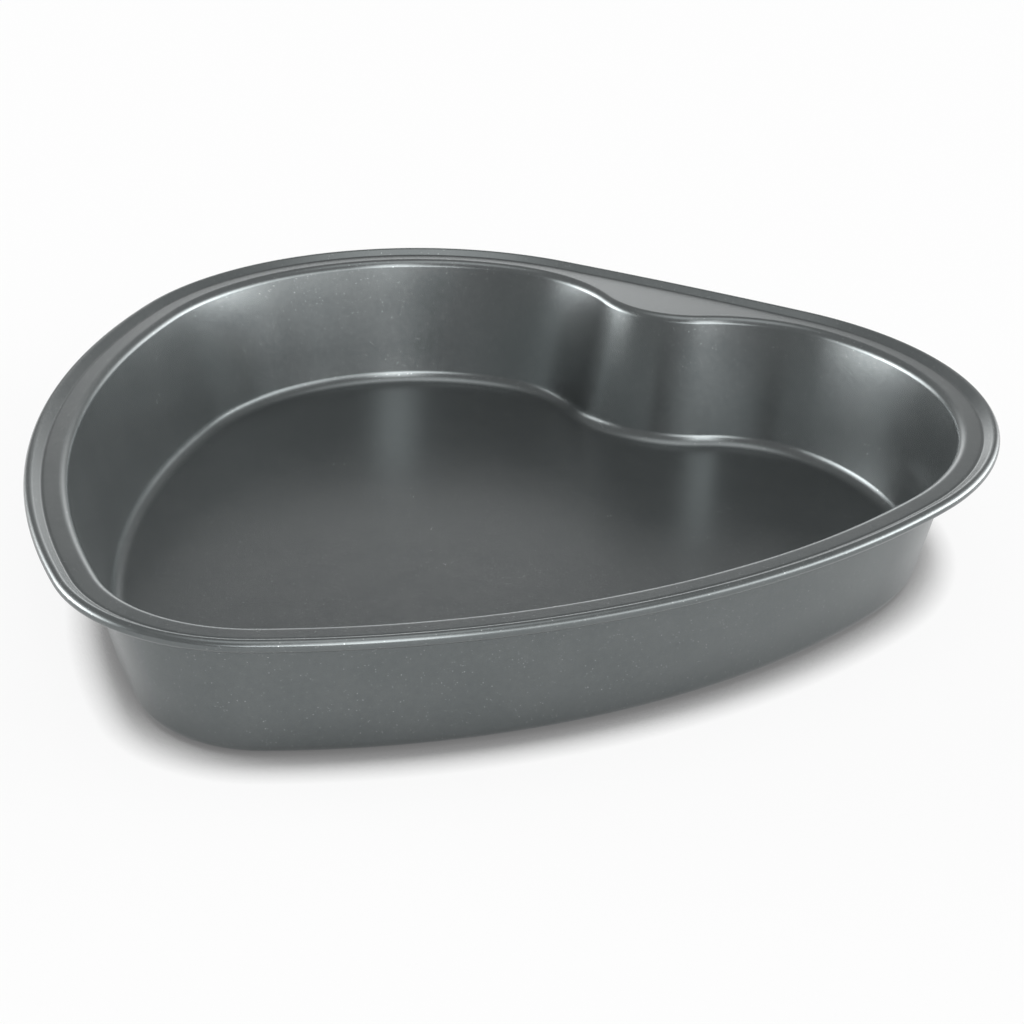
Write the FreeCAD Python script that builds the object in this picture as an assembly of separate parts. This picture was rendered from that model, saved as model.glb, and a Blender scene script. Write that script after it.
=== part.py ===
import FreeCAD, Part
import math
import os
from collections import namedtuple

# A heart cake pan drawn from one steel sheet: flat floor, sloping wall, flat flange and a rolled rim.
# Millimetres, Z up. The point of the heart lies towards -Y and the cleft towards +Y.
# The origin is under the base, at the middle of the pan's overall length and width.

# Sheet
SHEET = 0.7              # thickness of the drawn sheet

# Mouth line, where the planes of the wall and of the flange would meet
LOBE_SPREAD = 38.0       # from the middle plane to each lobe's centre
LOBE_RADIUS = 76.5       # large round of each lobe
SHOULDER_RADIUS = 46.2   # tighter round between the lobe and the cleft
SHOULDER_ANGLE = 79.0    # degrees from +X at which the shoulder leaves the lobe
CLEFT_RADIUS = 28.8      # hollow round of the cleft
TIP_DISTANCE = 118.9     # from the line of the lobe centres to the tip's centre
TIP_RADIUS = 39.1        # round of the point
SIDE_RADIUS = 212.0      # slow curve of each long side

# Bowl
DEPTH = 36.5             # from the floor inside to the top of the flange
DRAFT = 13.0             # degrees that the wall leans out from the vertical
FLOOR_BEND = 4.0         # inside radius between floor and wall
LIP_BEND = 1.8           # inside radius of the bend from wall to flange

# Rim
RIM_WIDTH = 10.1         # from the mouth line to the outer edge of the roll
RIM_BOW = 1100.0         # radius of the rim where it bridges the cleft
DIP_DEPTH = 0.45         # depth of the groove at the foot of the roll
DIP_ANGLE = 35.0         # degrees that the sheet slopes down into the groove
ROLL_RADIUS = 1.4        # outer radius of the edge, rolled tight on itself
ROLL_LIFT = 0.05         # height of the roll's centre over the flange

FINE_BEND = 3.0          # rounds under this radius are drawn as splines, which mesh in fewer facets

ORIGIN = FreeCAD.Vector(0, 0, 0)
ACROSS = FreeCAD.Vector(1, 0, 0)
UP = FreeCAD.Vector(0, 0, 1)

FLANGE_TOP = SHEET + DEPTH
# An arc's side is 1 where the outline is round and -1 where it is hollow
Arc = namedtuple("Arc", "x y radius side start end")
# A move is a straight run, then a turn in degrees, upwards if positive, at an inside radius
Move = namedtuple("Move", "run turn radius")


def direction(degrees):
    """Unit vector in the plan at an angle from +X."""
    turn = math.radians(degrees)
    return FreeCAD.Vector(math.cos(turn), math.sin(turn), 0)


def bearing(start, end):
    """Angle of the line from start to end in the plan."""
    return math.degrees(math.atan2(end.y - start.y, end.x - start.x))


def mirrored(arc):
    """The same arc on the other side of the middle plane."""
    return Arc(-arc.x, arc.y, arc.radius, arc.side, 180 - arc.end, 180 - arc.start)


def lower_arcs(lobe, tip):
    """Tip arc and side arc, with the angle at which the side runs into the lobe."""
    to_lobe = SIDE_RADIUS - LOBE_RADIUS
    to_tip = SIDE_RADIUS - TIP_RADIUS
    span = lobe.distanceToPoint(tip)
    along = (to_lobe ** 2 - to_tip ** 2 + span ** 2) / (2 * span)
    aside = math.sqrt(to_lobe ** 2 - along ** 2)
    line = direction(bearing(lobe, tip))
    side = lobe + line * along + FreeCAD.Vector(line.y, -line.x, 0) * aside
    from_tip = bearing(side, tip)
    from_lobe = bearing(side, lobe)
    tip_arc = Arc(tip.x, tip.y, TIP_RADIUS, 1, -180 - from_tip, from_tip)
    side_arc = Arc(side.x, side.y, SIDE_RADIUS, 1, from_tip, from_lobe)
    return tip_arc, side_arc, from_lobe


def closed_outline(tip_arc, right_arcs, top_arc):
    """Whole outline from the arcs on the middle plane and those of the right half."""
    left_arcs = [mirrored(arc) for arc in reversed(right_arcs)]
    return [tip_arc] + right_arcs + [top_arc] + left_arcs


def mouth_outline(lobe, tip):
    """Heart of tangent arcs, with its cleft."""
    tip_arc, side_arc, lobe_start = lower_arcs(lobe, tip)
    shoulder = lobe + direction(SHOULDER_ANGLE) * (LOBE_RADIUS - SHOULDER_RADIUS)
    to_cleft = SHOULDER_RADIUS + CLEFT_RADIUS
    cleft = FreeCAD.Vector(0, shoulder.y + math.sqrt(to_cleft ** 2 - shoulder.x ** 2), 0)
    cleft_angle = bearing(shoulder, cleft)
    right = [
        side_arc,
        Arc(lobe.x, lobe.y, LOBE_RADIUS, 1, lobe_start, SHOULDER_ANGLE),
        Arc(shoulder.x, shoulder.y, SHOULDER_RADIUS, 1, SHOULDER_ANGLE, cleft_angle),
    ]
    cleft_arc = Arc(0, cleft.y, CLEFT_RADIUS, -1, -cleft_angle, cleft_angle - 180)
    return closed_outline(tip_arc, right, cleft_arc)


def rim_outline(lobe, tip):
    """The same heart without its cleft: one slightly bowed arc bridges the lobes."""
    tip_arc, side_arc, lobe_start = lower_arcs(lobe, tip)
    bow = FreeCAD.Vector(0, lobe.y - math.sqrt((RIM_BOW - LOBE_RADIUS) ** 2 - lobe.x ** 2), 0)
    bow_start = bearing(bow, lobe)
    right = [side_arc, Arc(lobe.x, lobe.y, LOBE_RADIUS, 1, lobe_start, bow_start)]
    bow_arc = Arc(0, bow.y, RIM_BOW, 1, bow_start, 180 - bow_start)
    return closed_outline(tip_arc, right, bow_arc)


def outlines():
    """Mouth and rim outlines, set so that the rim's length is centred on the origin."""
    lobe = FreeCAD.Vector(LOBE_SPREAD, 0, 0)
    tip = FreeCAD.Vector(0, -TIP_DISTANCE, 0)
    bow = rim_outline(lobe, tip)[3]
    middle = FreeCAD.Vector(0, (bow.y + bow.radius + tip.y - TIP_RADIUS) / 2, 0)
    return mouth_outline(lobe - middle, tip - middle), rim_outline(lobe - middle, tip - middle)


def outline_wire(outline, offset, height):
    """Closed wire parallel to an outline: every arc keeps its centre."""
    edges = []
    for arc in outline:
        centre = FreeCAD.Vector(arc.x, arc.y, height)
        radius = arc.radius + arc.side * offset
        edges.append(Part.makeCircle(radius, centre, UP, arc.start, arc.end))
    return Part.Wire(Part.__sortEdges__(edges))


def trace(height, moves, face):
    """Edges of one face of the sheet in the XZ plane: face 1 is the upper one and -1 the lower.

    Both faces start level at x = 0, and their bends share the same centres.
    """
    place = FreeCAD.Vector(0, 0, height if face > 0 else height - SHEET)
    heading = 0.0
    edges = []
    for move in moves:
        if move.run > 0:
            end = place + section_direction(heading) * move.run
            edges.append(Part.LineSegment(place, end).toShape())
            place = end
        bend = 1 if move.turn > 0 else -1
        radius = move.radius if bend == face else move.radius + SHEET
        centre = place + section_direction(heading + 90 * bend) * radius
        middle = centre - section_direction(heading + move.turn / 2 + 90 * bend) * radius
        end = centre - section_direction(heading + move.turn + 90 * bend) * radius
        edges.append(round_edge(place, middle, end))
        heading += move.turn
        place = end
    return edges, place


def round_edge(start, middle, end):
    """Arc through three points of the section."""
    edge = Part.Arc(start, middle, end).toShape()
    if edge.Curve.Radius > FINE_BEND:
        return edge
    return edge.Curve.toBSpline(edge.FirstParameter, edge.LastParameter).toShape()


def section_direction(degrees):
    """Unit vector in the section at an angle up from the outward direction."""
    turn = math.radians(degrees)
    return FreeCAD.Vector(math.cos(turn), 0, math.sin(turn))


def bowl_sections():
    """Inside and outside of the bowl, from the floor's edge over the wall to the flange."""
    rise = 90 - DRAFT
    lip_radius = LIP_BEND + SHEET
    bends_height = (FLOOR_BEND + lip_radius) * (1 - math.cos(math.radians(rise)))
    wall = (DEPTH - bends_height) / math.sin(math.radians(rise))
    moves = [Move(0, rise, FLOOR_BEND), Move(wall, -rise, LIP_BEND)]
    lip_reach = lip_radius * math.tan(math.radians(rise / 2))
    inside, end = trace(SHEET, moves, 1)
    outside, _ = trace(SHEET, moves, -1)
    shift = FreeCAD.Vector(lip_reach - end.x, 0, 0)
    wires = [Part.Wire(inside), Part.Wire(outside)]
    for wire in wires:
        wire.translate(shift)
    return wires, shift.x, lip_reach


def rim_section():
    """The groove and the tight roll, from the flange's top over the roll to the flange's underside.

    The edge is rolled tight, so the roll is solid. Its underside runs off at a tangent.
    """
    roll = FreeCAD.Vector(RIM_WIDTH - ROLL_RADIUS, 0, FLANGE_TOP + ROLL_LIFT)
    groove_angle = 180 + math.degrees(math.asin((DIP_DEPTH + ROLL_LIFT) / ROLL_RADIUS))
    groove = roll + section_direction(groove_angle) * ROLL_RADIUS
    fold = groove + FreeCAD.Vector(-DIP_DEPTH / math.tan(math.radians(DIP_ANGLE)), 0, DIP_DEPTH)
    under = fold - UP * SHEET
    from_roll = under - roll
    tangent_angle = math.degrees(math.atan2(from_roll.z, from_roll.x) + math.acos(ROLL_RADIUS / from_roll.Length))
    crown = roll + section_direction((groove_angle + tangent_angle) / 2) * ROLL_RADIUS
    tangent = roll + section_direction(tangent_angle) * ROLL_RADIUS
    edges = [
        Part.LineSegment(fold, groove).toShape(),
        round_edge(groove, crown, tangent),
        Part.LineSegment(tangent, under).toShape(),
    ]
    return Part.Wire(edges), fold.x


def swept_faces(section, outline):
    """Faces left by a section that follows an outline, turning about each arc's own axis."""
    faces = []
    for arc in outline:
        wire = section.copy() if arc.side > 0 else section.mirror(ORIGIN, ACROSS)
        wire.translate(FreeCAD.Vector(arc.radius, 0, 0))
        wire.rotate(ORIGIN, UP, arc.start)
        wire.translate(FreeCAD.Vector(arc.x, arc.y, 0))
        skin = wire.revolve(FreeCAD.Vector(arc.x, arc.y, 0), UP, arc.end - arc.start)
        faces.extend(skin.Faces)
    return faces


def floor_faces(mouth, offset):
    """Top and underside of the flat floor."""
    return [Part.Face(outline_wire(mouth, offset, height)) for height in (SHEET, 0)]


def flange_faces(mouth, rim, inner, outer):
    """Top and underside of the flat flange, which widens into a web behind the cleft."""
    faces = []
    for height in (FLANGE_TOP, FLANGE_TOP - SHEET):
        hole = outline_wire(mouth, inner, height)
        edge = outline_wire(rim, outer, height)
        faces.append(Part.Face(edge).cut(Part.Face(hole)).Faces[0])
    return faces


def heart_pan():
    """The pan as one solid: the faces of floor, bowl, flange and rim closed into one skin."""
    mouth, rim = outlines()
    bowl_wires, floor_edge, lip_edge = bowl_sections()
    rim_wire, flange_edge = rim_section()
    faces = floor_faces(mouth, floor_edge)
    for wire in bowl_wires:
        faces += swept_faces(wire, mouth)
    faces += flange_faces(mouth, rim, lip_edge, flange_edge)
    faces += swept_faces(rim_wire, rim)
    skin = Part.Compound(faces)
    skin.sewShape()
    pan = Part.Solid(skin.Shells[0])
    if pan.Volume < 0:
        pan.reverse()
    return pan


def main():
    os.makedirs("parts", exist_ok=True)
    pan = heart_pan()
    box = pan.optimalBoundingBox()
    print("valid", pan.isValid(), "solids", len(pan.Solids), "faces", len(pan.Faces))
    print("size %.1f x %.1f x %.1f mm" % (box.XLength, box.YLength, box.ZLength))
    print("volume %.0f mm3" % pan.Volume)
    pan.exportStep("parts/heart_pan.step")


main()
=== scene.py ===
"""Looks of a heart cake pan, drawn from one steel sheet with a dark non-stick coating.

The pan is a single piece. Its skin keeps the sizes of the solid that it stands for and adds the
open roll of the rim and the small folds beside it.
"""

import logging
import math
from dataclasses import dataclass, field
from enum import Enum, IntEnum
from typing import Any, NamedTuple

import bpy
from mathutils import Matrix, Vector

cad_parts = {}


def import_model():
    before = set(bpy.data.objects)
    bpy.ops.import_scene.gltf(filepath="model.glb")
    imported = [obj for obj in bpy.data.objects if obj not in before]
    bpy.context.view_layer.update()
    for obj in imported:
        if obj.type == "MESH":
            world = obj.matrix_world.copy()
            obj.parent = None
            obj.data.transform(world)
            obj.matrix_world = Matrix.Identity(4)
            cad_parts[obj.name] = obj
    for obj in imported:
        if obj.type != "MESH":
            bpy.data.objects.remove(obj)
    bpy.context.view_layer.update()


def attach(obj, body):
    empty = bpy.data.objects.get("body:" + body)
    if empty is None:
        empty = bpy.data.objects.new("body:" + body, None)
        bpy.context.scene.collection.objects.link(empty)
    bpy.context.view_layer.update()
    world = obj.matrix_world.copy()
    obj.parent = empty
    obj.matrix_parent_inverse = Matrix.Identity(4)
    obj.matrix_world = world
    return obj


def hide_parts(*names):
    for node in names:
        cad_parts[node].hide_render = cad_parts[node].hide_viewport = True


LOG = logging.getLogger("heart_pan_looks")
MM = 0.001
BODY = "root"
CAD_NODE = "heart_pan"
PHOTO_WIDTH = 1024
PURE_WHITE = (1.0, 1.0, 1.0, 1.0)


class Curving(Enum):
    """How an arc of the outline curves, seen from inside the pan."""

    ROUND = 1
    HOLLOW = -1


class Face(Enum):
    """Face of the sheet."""

    UPPER = 1
    LOWER = -1


class Track(Enum):
    """Line that a ring of the skin follows round the pan."""

    MOUTH = "mouth"
    WEB = "web"
    RIM = "rim"


class ColourMix(IntEnum):
    """Places of the colour sockets on the mix node."""

    SHARE = 0
    FIRST = 6
    SECOND = 7
    RESULT = 2


class Bend(NamedTuple):
    """A straight run in equal parts, then a turn in degrees, upwards if positive, at an inside radius."""

    run: float
    turn: float
    radius: float
    steps: int
    parts: int = 1


class Ring(NamedTuple):
    """One closed line of the skin: its track, its distance out from it and its height.

    On the web the distance is the share of the way from the lip to the rim.
    """

    track: Track
    reach: float
    height: float


@dataclass(frozen=True)
class OutlineArc:
    """Arc of the pan's outline, in millimetres and degrees."""

    x: float
    y: float
    radius: float
    curving: Curving
    start: float
    end: float

    def point(self, angle: float, offset: float) -> tuple[float, float]:
        """Place on a line parallel to the arc.

        Args:
            angle: Direction from the arc's centre, in degrees.
            offset: Distance outwards from the arc.

        Returns:
            Its x and y.
        """
        reach = self.radius + self.curving.value * offset
        turn = math.radians(angle)
        return self.x + reach * math.cos(turn), self.y + reach * math.sin(turn)

    def mirrored(self) -> "OutlineArc":
        """The same arc on the other side of the middle plane."""
        return OutlineArc(-self.x, self.y, self.radius, self.curving, 180 - self.start, 180 - self.end)

    def length(self) -> float:
        """Length of the arc."""
        return self.radius * math.radians(abs(self.end - self.start))

    def angle_at(self, share: float) -> float:
        """Direction from the centre at a share of the way from start to end."""
        return self.start + (self.end - self.start) * share


class Station(NamedTuple):
    """A place along the outline."""

    arc: OutlineArc
    angle: float

    def at(self, offset: float) -> tuple[float, float]:
        """Place at a distance out from the outline."""
        return self.arc.point(self.angle, offset)


def spaced_stations(arcs: list[OutlineArc], count: int) -> list[Station]:
    """Evenly spaced stations along a chain of arcs, without its last point.

    Args:
        arcs: The arcs, end to end.
        count: Number of stations.

    Returns:
        The stations in order, the first at the start of the first arc.
    """
    lengths = [arc.length() for arc in arcs]
    total = sum(lengths)
    stations = []
    for index in range(count):
        along = total * index / count
        for arc, length in zip(arcs, lengths):
            if along < length:
                stations.append(Station(arc, arc.angle_at(along / length)))
                break
            along -= length
    return stations


@dataclass(frozen=True)
class HeartOutline:
    """Plan of the pan in millimetres: a heart of tangent arcs, and the rim that bridges its cleft."""

    lobe_spread: float = 38.0
    lobe_radius: float = 76.5
    shoulder_radius: float = 46.2
    shoulder_angle: float = 79.0
    cleft_radius: float = 28.8
    tip_distance: float = 118.9
    tip_radius: float = 39.1
    side_radius: float = 212.0
    rim_bow: float = 1100.0
    round_count: int = 372
    cleft_count: int = 84

    def bow_drop(self) -> float:
        """Distance from the line of the lobe centres down to the centre of the rim's bow."""
        return math.sqrt((self.rim_bow - self.lobe_radius) ** 2 - self.lobe_spread ** 2)

    def lobe_height(self) -> float:
        """Distance of the lobe centres from the middle of the pan's whole length.

        Returns:
            Their y.
        """
        back = self.rim_bow - self.bow_drop()
        front = -self.tip_distance - self.tip_radius
        return -(back + front) / 2

    def side_arc(self) -> OutlineArc:
        """Slow curve of the right side, from the tip's round to the lobe.

        Its centre is where the circles about the centres of lobe and tip cross that make it touch both.

        Returns:
            The arc.
        """
        tip = Vector((0.0, self.lobe_height() - self.tip_distance))
        lobe = Vector((self.lobe_spread, self.lobe_height()))
        to_lobe = self.side_radius - self.lobe_radius
        to_tip = self.side_radius - self.tip_radius
        line = tip - lobe
        along = (to_lobe ** 2 - to_tip ** 2 + line.length_squared) / (2 * line.length)
        aside = math.sqrt(to_lobe ** 2 - along ** 2)
        line.normalize()
        centre = lobe + line * along + Vector((line.y, -line.x)) * aside
        start = math.degrees(math.atan2(tip.y - centre.y, tip.x - centre.x))
        end = math.degrees(math.atan2(lobe.y - centre.y, lobe.x - centre.x))
        return OutlineArc(centre.x, centre.y, self.side_radius, Curving.ROUND, start, end)

    def round_arcs(self) -> list[OutlineArc]:
        """Arcs that mouth and rim share.

        Returns:
            Left lobe, left side, tip, right side and right lobe.
        """
        side = self.side_arc()
        height = self.lobe_height()
        lobe = OutlineArc(
            self.lobe_spread, height, self.lobe_radius, Curving.ROUND, side.end, self.shoulder_angle
        )
        tip = OutlineArc(
            0.0, height - self.tip_distance, self.tip_radius, Curving.ROUND, -180 - side.start, side.start
        )
        left = [self.turned_round(lobe.mirrored()), self.turned_round(side.mirrored())]
        return left + [tip, side, lobe]

    @staticmethod
    def turned_round(arc: OutlineArc) -> OutlineArc:
        """The same arc, run from its other end."""
        return OutlineArc(arc.x, arc.y, arc.radius, arc.curving, arc.end, arc.start)

    def cleft_arcs(self) -> list[OutlineArc]:
        """Arcs of the mouth at the back.

        Returns:
            Right shoulder, cleft and left shoulder.
        """
        turn = math.radians(self.shoulder_angle)
        inset = self.lobe_radius - self.shoulder_radius
        x = self.lobe_spread + inset * math.cos(turn)
        y = self.lobe_height() + inset * math.sin(turn)
        reach = self.shoulder_radius + self.cleft_radius
        cleft_y = y + math.sqrt(reach ** 2 - x ** 2)
        angle = math.degrees(math.atan2(cleft_y - y, -x))
        shoulder = OutlineArc(x, y, self.shoulder_radius, Curving.ROUND, self.shoulder_angle, angle)
        cleft = OutlineArc(0.0, cleft_y, self.cleft_radius, Curving.HOLLOW, angle - 180, -angle)
        return [shoulder, cleft, self.turned_round(shoulder.mirrored())]

    def bridge_arcs(self) -> list[OutlineArc]:
        """Arcs of the rim at the back, behind the cleft.

        Returns:
            End of the right lobe, the slow bow and end of the left lobe.
        """
        centre_y = self.lobe_height() - self.bow_drop()
        angle = math.degrees(math.atan2(self.bow_drop(), self.lobe_spread))
        lobe = OutlineArc(
            self.lobe_spread, self.lobe_height(), self.lobe_radius, Curving.ROUND, self.shoulder_angle, angle
        )
        bow = OutlineArc(0.0, centre_y, self.rim_bow, Curving.ROUND, angle, 180 - angle)
        return [lobe, bow, self.turned_round(lobe.mirrored())]

    def mouth(self) -> list[Station]:
        """Stations round the mouth, anticlockwise from the left lobe."""
        return self.joined(self.cleft_arcs())

    def rim(self) -> list[Station]:
        """Stations round the rim, each one beside the mouth's station of the same number."""
        return self.joined(self.bridge_arcs())

    def joined(self, arcs: list[OutlineArc]) -> list[Station]:
        """Stations of the shared arcs and of the arcs at the back."""
        front = spaced_stations(self.round_arcs(), self.round_count)
        return front + spaced_stations(arcs, self.cleft_count)


@dataclass(frozen=True)
class SheetSection:
    """Section of the drawn sheet in millimetres, from the floor over the wall and flange to the roll.

    The flange ends in a shallow dip and a slope up to the bead, which rolls out and under. The guard is
    the narrow flat strip beside a bend that keeps the bend's shading off the flat.
    """

    sheet: float = 0.7
    depth: float = 36.5
    draft: float = 13.0
    floor_bend: float = 4.0
    lip_bend: float = 1.8
    rim_width: float = 10.05
    dip_angle: float = 14.0
    dip_bend: float = 1.0
    dip_run: float = 0.1
    groove_bend: float = 0.8
    groove_rise: float = 36.0
    groove_run: float = 1.75
    roll_bend: float = 0.75
    roll_turn: float = 280.0
    guard: float = 0.35
    floor_steps: int = 18
    lip_steps: int = 14
    dip_steps: int = 6
    groove_steps: int = 9
    roll_steps: int = 30
    wall_parts: int = 4
    web_rings: int = 5

    @property
    def flange_top(self) -> float:
        """Height of the flange's upper face."""
        return self.sheet + self.depth

    def trace(self, height: float, bends: list[Bend], face: Face) -> list[tuple[float, float]]:
        """Follow one face of the sheet, level at first, through its runs and bends.

        Args:
            height: Height of the upper face at the start.
            bends: The runs and bends in order.
            face: Which face of the sheet to follow.

        Returns:
            Distance out and height of each point.
        """
        x, z = 0.0, height if face is Face.UPPER else height - self.sheet
        heading = 0.0
        points = [(x, z)]
        for bend in bends:
            for _ in range(bend.parts if bend.run > 0 else 0):
                x += bend.run / bend.parts * math.cos(heading)
                z += bend.run / bend.parts * math.sin(heading)
                points.append((x, z))
            way = 1 if bend.turn > 0 else -1
            radius = bend.radius if way == face.value else bend.radius + self.sheet
            centre_x = x - way * radius * math.sin(heading)
            centre_z = z + way * radius * math.cos(heading)
            for step in range(1, bend.steps + 1):
                turned = heading + math.radians(bend.turn) * step / bend.steps
                x = centre_x + way * radius * math.sin(turned)
                z = centre_z - way * radius * math.cos(turned)
                points.append((x, z))
            heading += math.radians(bend.turn)
        return points

    def bowl_bends(self) -> list[Bend]:
        """Folds of the bowl.

        Returns:
            The bend from floor to wall, then the wall and the bend from wall to flange.
        """
        rise = 90 - self.draft
        lip = self.lip_bend + self.sheet
        bends_height = (self.floor_bend + lip) * (1 - math.cos(math.radians(rise)))
        wall = (self.depth - bends_height) / math.sin(math.radians(rise))
        return [
            Bend(0, rise, self.floor_bend, self.floor_steps),
            Bend(wall, -rise, self.lip_bend, self.lip_steps, self.wall_parts),
        ]

    def bowl_rings(self, face: Face) -> list[Ring]:
        """Rings of the bowl, from the floor's edge to the lip.

        Args:
            face: Face of the sheet.

        Returns:
            The rings of that face.
        """
        rise = math.radians(90 - self.draft)
        lip_reach = (self.lip_bend + self.sheet) * math.tan(rise / 2)
        end = self.trace(self.sheet, self.bowl_bends(), Face.UPPER)[-1]
        shift = lip_reach - end[0]
        points = self.trace(self.sheet, self.bowl_bends(), face)
        rings = [Ring(Track.MOUTH, shift - self.guard, points[0][1])]
        rings += [Ring(Track.MOUTH, x + shift, z) for x, z in points]
        rings.append(Ring(Track.MOUTH, lip_reach + self.guard, points[-1][1]))
        return rings

    def rim_rings(self, face: Face) -> list[Ring]:
        """Rings of the rim, from the flange to the raw edge inside the roll.

        Args:
            face: Face of the sheet.

        Returns:
            The rings of that face.
        """
        bends = [
            Bend(0, -self.dip_angle, self.dip_bend, self.dip_steps),
            Bend(self.dip_run, self.dip_angle + self.groove_rise, self.groove_bend, self.groove_steps),
            Bend(self.groove_run, -self.roll_turn, self.roll_bend, self.roll_steps),
        ]
        upper = self.trace(self.flange_top, bends, Face.UPPER)
        shift = self.rim_width - max(x for x, _ in upper)
        points = self.trace(self.flange_top, bends, face)
        rings = [Ring(Track.RIM, shift - self.guard, points[0][1])]
        return rings + [Ring(Track.RIM, x + shift, z) for x, z in points]

    def web_span(self, face: Face) -> list[Ring]:
        """Rings of the flange, between the lip and the rim.

        Args:
            face: Face of the sheet.

        Returns:
            The rings of that face.
        """
        height = self.flange_top if face is Face.UPPER else self.flange_top - self.sheet
        shares = [(index + 1) / (self.web_rings + 1) for index in range(self.web_rings)]
        return [Ring(Track.WEB, share, height) for share in shares]

    def rings(self) -> list[Ring]:
        """All rings of the skin.

        Returns:
            The rings from the floor out over the upper face, round the roll's edge and back underneath.
        """
        faces = []
        for face in (Face.UPPER, Face.LOWER):
            faces.append(self.bowl_rings(face) + self.web_span(face) + self.rim_rings(face))
        return faces[0] + faces[1][::-1]


@dataclass
class NodeBench:
    """Lays out the nodes of one tree."""

    tree: bpy.types.NodeTree

    @classmethod
    def emptied(cls, owner: bpy.types.Material | bpy.types.World) -> "NodeBench":
        """Clear the nodes of a material or world.

        Args:
            owner: The material or world.

        Returns:
            The bench for its tree.
        """
        owner.use_nodes = True
        owner.node_tree.nodes.clear()
        return cls(owner.node_tree)

    def add(self, kind: str, inputs: dict[int | str, Any] | None = None, **settings: Any) -> bpy.types.Node:
        """Add a node.

        Args:
            kind: Blender's name for the node type.
            inputs: Values for its sockets, or sockets to link to them, by name or by place.
            settings: Properties of the node.

        Returns:
            The node.
        """
        node = self.tree.nodes.new(kind)
        for name, value in settings.items():
            setattr(node, name, value)
        for name, value in (inputs or {}).items():
            if isinstance(value, bpy.types.NodeSocket):
                self.tree.links.new(value, node.inputs[name])
            else:
                node.inputs[name].default_value = value
        return node

    def ranged(self, value: bpy.types.NodeSocket, old: tuple[float, float], new: tuple[float, float],
               interpolation: str = "LINEAR") -> bpy.types.NodeSocket:
        """Carry a value from one range to another.

        Args:
            value: Socket that gives the value.
            old: Range that it is read over.
            new: Range that it is carried to.
            interpolation: Blender's name for the way between the ends.

        Returns:
            Socket of the result.
        """
        limits = {"Value": value, "From Min": old[0], "From Max": old[1], "To Min": new[0], "To Max": new[1]}
        return self.add("ShaderNodeMapRange", limits, interpolation_type=interpolation).outputs["Result"]

    def maths(self, operation: str, *values: bpy.types.NodeSocket | float) -> bpy.types.NodeSocket:
        """Work out a value from others.

        Args:
            operation: Blender's name for the sum.
            values: Numbers or sockets, in the node's own order.

        Returns:
            Socket of the result.
        """
        return self.add("ShaderNodeMath", dict(enumerate(values)), operation=operation).outputs["Value"]

    def tint(self, share: bpy.types.NodeSocket, first: Any, second: Any) -> bpy.types.NodeSocket:
        """Mix two colours.

        Args:
            share: Socket of the second colour's share.
            first: First colour, or its socket.
            second: Second colour, or its socket.

        Returns:
            Socket of the mixed colour.
        """
        inputs = {ColourMix.SHARE: share, ColourMix.FIRST: first, ColourMix.SECOND: second}
        return self.add("ShaderNodeMix", inputs, data_type="RGBA").outputs[ColourMix.RESULT]

    def blend(self, share: bpy.types.NodeSocket, first: bpy.types.NodeSocket,
              second: bpy.types.NodeSocket) -> bpy.types.NodeSocket:
        """Mix two shaders.

        Args:
            share: Socket of the second shader's share.
            first: Socket of the first shader.
            second: Socket of the second shader.

        Returns:
            Socket of the mixed shader.
        """
        return self.add("ShaderNodeMixShader", {0: share, 1: first, 2: second}).outputs["Shader"]


class Spots(NamedTuple):
    """Smooth noise: the size of its spots in metres, and its number of finer layers."""

    size: float
    layers: float


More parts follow.
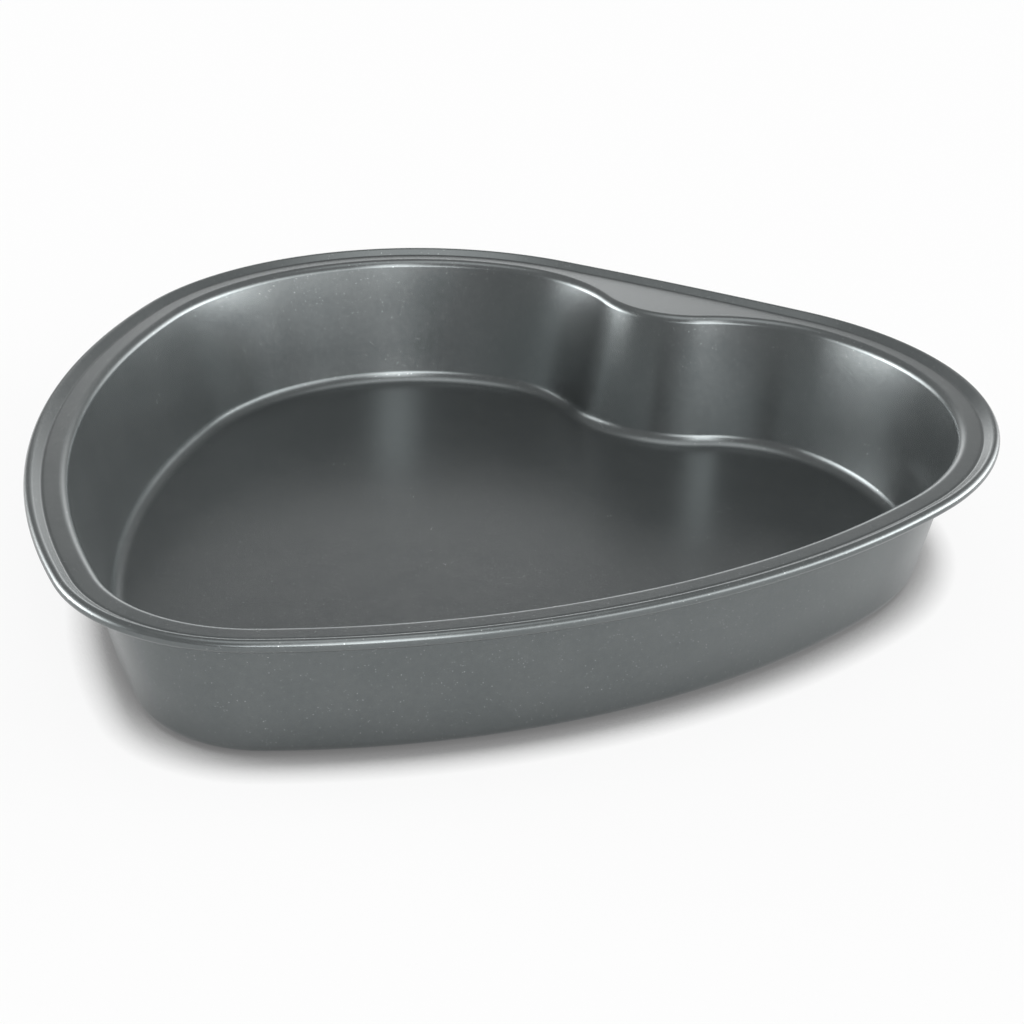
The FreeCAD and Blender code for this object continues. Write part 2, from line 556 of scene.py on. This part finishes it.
@dataclass(frozen=True)
class NonstickCoating:
    """Satin dark grey coating, baked on, with fine flakes in it. Lengths are in metres."""

    deep_tint: tuple[float, float, float] = (0.127, 0.140, 0.142)
    pale_tint: tuple[float, float, float] = (0.151, 0.163, 0.164)
    flake_tint: tuple[float, float, float] = (0.50, 0.52, 0.52)
    metallic: float = 0.78
    roughness: tuple[float, float] = (0.22, 0.28)
    cloud_spots: Spots = Spots(0.014, 3.0)
    mottle_spots: Spots = Spots(0.0016, 4.0)
    grain_spots: Spots = Spots(0.00042, 2.0)
    spot_contrast: float = 0.55
    spot_span: tuple[float, float] = (0.3, 0.7)
    flake_size: float = 0.00030
    flake_share: float = 0.035
    flake_core: tuple[float, float] = (0.15, 0.5)
    grain_height: float = 0.0000035
    mottle_relief: float = 1.2

    def material(self) -> bpy.types.Material:
        """Build the coating.

        Returns:
            The material.
        """
        material = bpy.data.materials.new("nonstick_coating")
        bench = NodeBench.emptied(material)
        place = bench.add("ShaderNodeTexCoord").outputs["Object"]
        clouds = self.noise(bench, place, self.cloud_spots)
        mottle = self.noise(bench, place, self.mottle_spots)
        grain = self.noise(bench, place, self.grain_spots)
        flakes = self.flakes(bench, place)
        shader = bench.add("ShaderNodeBsdfPrincipled", {
            "Base Color": self.colour(bench, clouds, mottle, flakes),
            "Metallic": self.metallic,
            "Roughness": self.sheen(bench, clouds, mottle, grain),
            "Normal": self.relief(bench, mottle, grain),
        })
        bench.add("ShaderNodeOutputMaterial", {"Surface": shader.outputs["BSDF"]})
        return material

    def noise(self, bench: NodeBench, place: bpy.types.NodeSocket, spots: Spots) -> bpy.types.NodeSocket:
        """Smooth noise.

        Args:
            bench: Tree to add to.
            place: Socket of the position in metres.
            spots: Size and layers of the noise.

        Returns:
            Socket of the noise, mostly within the coating's spot span.
        """
        inputs = {
            "Vector": place,
            "Scale": 1 / spots.size,
            "Detail": spots.layers,
            "Roughness": self.spot_contrast,
        }
        return bench.add("ShaderNodeTexNoise", inputs).outputs["Fac"]

    def flakes(self, bench: NodeBench, place: bpy.types.NodeSocket) -> bpy.types.NodeSocket:
        """Pick out the few bright flakes in the coating.

        Args:
            bench: Tree to add to.
            place: Socket of the position in metres.

        Returns:
            Socket of a mask, one in the middle of a flake.
        """
        cells = bench.add("ShaderNodeTexVoronoi", {"Vector": place, "Scale": 1 / self.flake_size})
        parts = bench.add("ShaderNodeSeparateColor", {"Color": cells.outputs["Color"]})
        picked = bench.ranged(parts.outputs["Red"], (1 - self.flake_share, 1.0), (0.0, 1.0))
        core = bench.ranged(cells.outputs["Distance"], self.flake_core, (1.0, 0.0))
        return bench.maths("MULTIPLY", picked, core)

    def spread(self, bench: NodeBench, noise: bpy.types.NodeSocket, low: float,
               high: float) -> bpy.types.NodeSocket:
        """Noise spread out from a low to a high value."""
        return bench.ranged(noise, self.spot_span, (low, high))

    def colour(self, bench: NodeBench, clouds: bpy.types.NodeSocket, mottle: bpy.types.NodeSocket,
               flakes: bpy.types.NodeSocket) -> bpy.types.NodeSocket:
        """Tint the coating with soft clouds, fine mottling and flakes.

        Args:
            bench: Tree to add to.
            clouds: Socket of the large spots.
            mottle: Socket of the fine spots.
            flakes: Socket of the flakes' mask.

        Returns:
            Socket of the colour.
        """
        clouded = self.spread(bench, clouds, 0.0, 0.5)
        mottled = self.spread(bench, mottle, 0.0, 0.5)
        share = bench.maths("ADD", clouded, mottled)
        body = bench.tint(share, (*self.deep_tint, 1.0), (*self.pale_tint, 1.0))
        return bench.tint(flakes, body, (*self.flake_tint, 1.0))

    def sheen(self, bench: NodeBench, clouds: bpy.types.NodeSocket, mottle: bpy.types.NodeSocket,
              grain: bpy.types.NodeSocket) -> bpy.types.NodeSocket:
        """Vary the roughness by equal parts of the three noises.

        Args:
            bench: Tree to add to.
            clouds: Socket of the large spots.
            mottle: Socket of the fine spots.
            grain: Socket of the finest spots.

        Returns:
            Socket of the roughness.
        """
        low, high = self.roughness
        third = (high - low) / 3
        clouded = self.spread(bench, clouds, low, low + third)
        mottled = self.spread(bench, mottle, 0.0, third)
        grained = self.spread(bench, grain, 0.0, third)
        return bench.maths("ADD", bench.maths("ADD", clouded, mottled), grained)

    def relief(self, bench: NodeBench, mottle: bpy.types.NodeSocket,
               grain: bpy.types.NodeSocket) -> bpy.types.NodeSocket:
        """Give the sprayed coat its slight unevenness.

        Args:
            bench: Tree to add to.
            mottle: Socket of the fine spots.
            grain: Socket of the finest spots.

        Returns:
            Socket of the surface's direction.
        """
        height = bench.maths("ADD", bench.maths("MULTIPLY", mottle, self.mottle_relief), grain)
        inputs = {"Height": height, "Strength": 1.0, "Distance": self.grain_height}
        return bench.add("ShaderNodeBump", inputs).outputs["Normal"]


@dataclass
class HeartPan:
    """The pan: one coated sheet with floor, sloping wall, flange and rolled rim."""

    outline: HeartOutline = field(default_factory=HeartOutline)
    section: SheetSection = field(default_factory=SheetSection)
    coating: NonstickCoating = field(default_factory=NonstickCoating)

    def ring_points(self, ring: Ring, mouth: list[Station], rim: list[Station]) -> list[Vector]:
        """Points of one ring of the skin.

        Args:
            ring: The ring.
            mouth: Stations of the mouth.
            rim: Stations of the rim.

        Returns:
            The ring's points in metres.
        """
        if ring.track is Track.WEB:
            plan = self.web_plan(ring.reach, mouth, rim)
        else:
            stations = mouth if ring.track is Track.MOUTH else rim
            plan = [station.at(ring.reach) for station in stations]
        return [Vector((x, y, ring.height)) * MM for x, y in plan]

    def web_plan(self, share: float, mouth: list[Station], rim: list[Station]) -> list[tuple[float, float]]:
        """Plan of a line on the flange.

        Args:
            share: Share of the way from the lip to the rim.
            mouth: Stations of the mouth.
            rim: Stations of the rim.

        Returns:
            The line's x and y in millimetres.
        """
        lip = self.section.bowl_rings(Face.UPPER)[-1].reach
        edge = self.section.rim_rings(Face.UPPER)[0].reach
        plan = []
        for inner, outer in zip(mouth, rim):
            inner_x, inner_y = inner.at(lip)
            outer_x, outer_y = outer.at(edge)
            plan.append((inner_x + (outer_x - inner_x) * share, inner_y + (outer_y - inner_y) * share))
        return plan

    def skin(self) -> bpy.types.Mesh:
        """Build the pan's skin as one closed mesh: the floor's two faces, and strips from ring to ring.

        Returns:
            The mesh, shaded smooth.
        """
        mouth, rim = self.outline.mouth(), self.outline.rim()
        rings = [self.ring_points(ring, mouth, rim) for ring in self.section.rings()]
        count = len(mouth)
        faces = [list(range(count)), list(range(len(rings) * count - 1, (len(rings) - 1) * count - 1, -1))]
        for row in range(len(rings) - 1):
            inner, outer = row * count, (row + 1) * count
            for index in range(count):
                after = (index + 1) % count
                faces.append([inner + index, outer + index, outer + after, inner + after])
        mesh = bpy.data.meshes.new("heart_pan_skin")
        mesh.from_pydata([point for ring in rings for point in ring], [], faces)
        mesh.polygons.foreach_set("use_smooth", [True] * len(mesh.polygons))
        mesh.update()
        return mesh

    def build(self) -> bpy.types.Object:
        """Make the pan, dress it and hang it on its body.

        Returns:
            The pan's object.
        """
        mesh = self.skin()
        mesh.materials.append(self.coating.material())
        pan = bpy.data.objects.new("heart_pan_coated", mesh)
        bpy.context.scene.collection.objects.link(pan)
        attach(pan, BODY)
        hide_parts(CAD_NODE)
        return pan


@dataclass(frozen=True)
class SoftPanel:
    """Soft studio panel, far off, brightest at its middle. Angles in degrees, azimuth from +X to +Y."""

    azimuth: float
    elevation: float
    half_width: float
    half_height: float
    strength: float

    def glow(self, bench: NodeBench, around: bpy.types.NodeSocket,
             height: bpy.types.NodeSocket) -> bpy.types.NodeSocket:
        """Light of the panel in a direction.

        Args:
            bench: The world's node tree.
            around: Socket of the direction's azimuth in radians.
            height: Socket of its elevation in radians.

        Returns:
            Socket of the panel's light.
        """
        turned = bench.maths("SUBTRACT", around, math.radians(self.azimuth))
        nearest = bench.maths("WRAP", turned, math.pi, -math.pi)
        raised = bench.maths("SUBTRACT", height, math.radians(self.elevation))
        across = self.fade(bench, nearest, self.half_width)
        upward = self.fade(bench, raised, self.half_height)
        return bench.maths("MULTIPLY", bench.maths("MULTIPLY", across, upward), self.strength)

    @staticmethod
    def fade(bench: NodeBench, angle: bpy.types.NodeSocket, reach: float) -> bpy.types.NodeSocket:
        """Soft fall from one at no angle to nothing at the reach, in degrees."""
        size = bench.maths("ABSOLUTE", angle)
        return bench.ranged(size, (0.0, math.radians(reach)), (1.0, 0.0), "SMOOTHSTEP")


@dataclass(frozen=True)
class PaleTable:
    """Matt pale table under the pan. Lengths are in metres.

    The eye and the pan's gloss see mostly plain white, with a painted contact shadow close to where the pan
    stands.
    """

    half_width: float = 6.0
    gap: float = 0.00005
    tone: float = 0.74
    white: float = 0.98
    white_share: float = 0.90
    gloss_share: float = 0.4
    # Painted contact shadow in the white: its reach, the occlusion range it spans, its darkest level and its
    # samples.
    painted_shadow_reach: float = 0.011
    painted_shadow_range: tuple[float, float] = (0.40, 1.0)
    painted_shadow_level: float = 0.16
    painted_shadow_samples: int = 4

    def build(self) -> bpy.types.Object:
        """Lay the table just under the pan's base.

        Returns:
            The table's object.
        """
        half = self.half_width
        square = [(-half, -half, 0.0), (half, -half, 0.0), (half, half, 0.0), (-half, half, 0.0)]
        mesh = bpy.data.meshes.new("table_top")
        mesh.from_pydata(square, [], [(0, 1, 2, 3)])
        mesh.materials.append(self.finish())
        table = bpy.data.objects.new("table_top", mesh)
        table.location.z = -self.gap
        bpy.context.scene.collection.objects.link(table)
        return table

    def finish(self) -> bpy.types.Material:
        """Build the table's finish, whose plain white isn't counted as a lamp.

        Returns:
            The material.
        """
        material = bpy.data.materials.new("pale_table")
        bench = NodeBench.emptied(material)
        material.cycles.emission_sampling = "NONE"
        matt = bench.add("ShaderNodeBsdfDiffuse", {"Color": (self.tone, self.tone, self.tone, 1.0)})
        # The white glow seen by the eye and the gloss carries the painted contact shadow.
        plain = bench.add("ShaderNodeEmission", {"Color": PURE_WHITE, "Strength": self.painted_contact_shadow(bench)})
        seen = self.seen_share(bench)
        table = bench.blend(seen, matt.outputs["BSDF"], plain.outputs["Emission"])
        bench.add("ShaderNodeOutputMaterial", {"Surface": table})
        return material

    def painted_contact_shadow(self, bench: NodeBench) -> bpy.types.NodeSocket:
        """Paint a contact shadow into the white: darken it close to where the pan stands.

        Args:
            bench: Tree to add to.

        Returns:
            Socket of the white's strength, with the painted contact shadow in it.
        """
        # Painted contact shadow: occlusion near the pan lowers the white's strength.
        reach = {"Distance": self.painted_shadow_reach}
        around = bench.add("ShaderNodeAmbientOcclusion", reach, samples=self.painted_shadow_samples)
        levels = (self.painted_shadow_level, self.white)
        return bench.ranged(around.outputs["AO"], self.painted_shadow_range, levels, "SMOOTHSTEP")

    def seen_share(self, bench: NodeBench) -> bpy.types.NodeSocket:
        """Share of plain white that the eye and the pan's gloss see.

        Args:
            bench: Tree to add to.

        Returns:
            Socket of the share.
        """
        ray = bench.add("ShaderNodeLightPath").outputs
        straight = bench.maths("MAXIMUM", ray["Is Camera Ray"], ray["Is Transmission Ray"])
        seen = bench.maths("MULTIPLY", straight, self.white_share)
        mirrored = bench.maths("MULTIPLY", ray["Is Glossy Ray"], self.gloss_share)
        return bench.maths("MAXIMUM", seen, mirrored)


@dataclass(frozen=True)
class Studio:
    """Dim even room with soft panels round the pan and a lamp overhead. Angles are in degrees."""

    backdrop_white: float = 0.98
    room_light: float = 0.40
    overhead_light: float = 1.50
    overhead_start: float = 58.0
    overhead_full: float = 84.0
    back_left: SoftPanel = SoftPanel(-165.0, 11.0, 40.0, 22.0, 13.0)
    back_low: SoftPanel = SoftPanel(122.0, 12.0, 22.0, 14.0, 2.3)
    back_right: SoftPanel = SoftPanel(51.0, 9.0, 48.0, 24.0, 9.5)
    right_side: SoftPanel = SoftPanel(7.0, 19.0, 78.0, 24.0, 3.5)
    front_low: SoftPanel = SoftPanel(-57.0, 24.0, 29.0, 12.0, 6.2)
    front_high: SoftPanel = SoftPanel(-43.0, 39.0, 18.0, 37.0, 6.6)

    def panels(self) -> tuple[SoftPanel, ...]:
        """All panels of the studio."""
        back = (self.back_left, self.back_low, self.back_right)
        return back + (self.right_side, self.front_low, self.front_high)

    def light(self, bench: NodeBench) -> bpy.types.NodeSocket:
        """Light of the room in each direction.

        Args:
            bench: The world's node tree.

        Returns:
            Socket of the light.
        """
        looking = bench.add("ShaderNodeTexCoord").outputs["Generated"]
        way = bench.add("ShaderNodeSeparateXYZ", {"Vector": looking}).outputs
        around = bench.maths("ARCTAN2", way["Y"], way["X"])
        height = bench.maths("ARCSINE", way["Z"])
        climb = (math.radians(self.overhead_start), math.radians(self.overhead_full))
        levels = (self.room_light, self.room_light + self.overhead_light)
        light = bench.ranged(height, climb, levels, "SMOOTHSTEP")
        for panel in self.panels():
            light = bench.maths("ADD", light, panel.glow(bench, around, height))
        return light

    def build(self) -> bpy.types.World:
        """Light the room, and show the eye a plain white backdrop.

        Returns:
            The world.
        """
        world = bpy.data.worlds.new("studio_room")
        bench = NodeBench.emptied(world)
        room = bench.add("ShaderNodeBackground", {"Color": PURE_WHITE, "Strength": self.light(bench)})
        plain = bench.add("ShaderNodeBackground", {"Color": PURE_WHITE, "Strength": self.backdrop_white})
        straight = bench.add("ShaderNodeLightPath").outputs["Is Camera Ray"]
        view = bench.blend(straight, room.outputs["Background"], plain.outputs["Background"])
        bench.add("ShaderNodeOutputWorld", {"Surface": view})
        bpy.context.scene.world = world
        return world


@dataclass(frozen=True)
class PhotoCamera:
    """Camera at the photograph's viewing angle.

    Places are in metres, the sensor in millimetres, angles in degrees and the focal length in pixels.
    """

    place: tuple[float, float, float] = (0.261557, -0.409622, 0.245854)
    azimuth: float = 30.8368
    elevation: float = 25.5567
    roll: float = 1.0247
    focal_pixels: float = 2074.474
    sensor: float = 36.0
    nearest: float = 0.01
    farthest: float = 50.0

    def turn(self) -> Matrix:
        """Rotation of the camera.

        Returns:
            The matrix whose columns are the camera's right, top and back.
        """
        around, up, tilt = map(math.radians, (self.azimuth, self.elevation, self.roll))
        back = Vector((math.sin(around) * math.cos(up), -math.cos(around) * math.cos(up), math.sin(up)))
        across = Vector((math.cos(around), math.sin(around), 0.0))
        upward = back.cross(across)
        right = across * math.cos(tilt) + upward * math.sin(tilt)
        top = upward * math.cos(tilt) - across * math.sin(tilt)
        return Matrix((right, top, back)).transposed()

    def build(self) -> bpy.types.Object:
        """Set the camera up as the scene's camera.

        Returns:
            The camera's object.
        """
        data = bpy.data.cameras.new("photo_camera")
        data.sensor_width = self.sensor
        data.lens = self.focal_pixels * self.sensor / PHOTO_WIDTH
        data.clip_start = self.nearest
        data.clip_end = self.farthest
        camera = bpy.data.objects.new("photo_camera", data)
        camera.matrix_world = Matrix.Translation(self.place) @ self.turn().to_4x4()
        bpy.context.scene.collection.objects.link(camera)
        bpy.context.scene.camera = camera
        return camera


def main() -> None:
    """Build the pan, the studio, the table and the camera, and log the pan's face count and the others'
    names.
    """
    logging.basicConfig(level=logging.INFO, format="%(message)s")
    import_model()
    bpy.context.scene.view_settings.view_transform = "Standard"
    pan = HeartPan().build()
    LOG.info("pan: %d faces", len(pan.data.polygons))
    LOG.info("room: %s", Studio().build().name)
    LOG.info("table: %s", PaleTable().build().name)
    LOG.info("camera: %s", PhotoCamera().build().name)


if __name__ == "__main__":
    main()
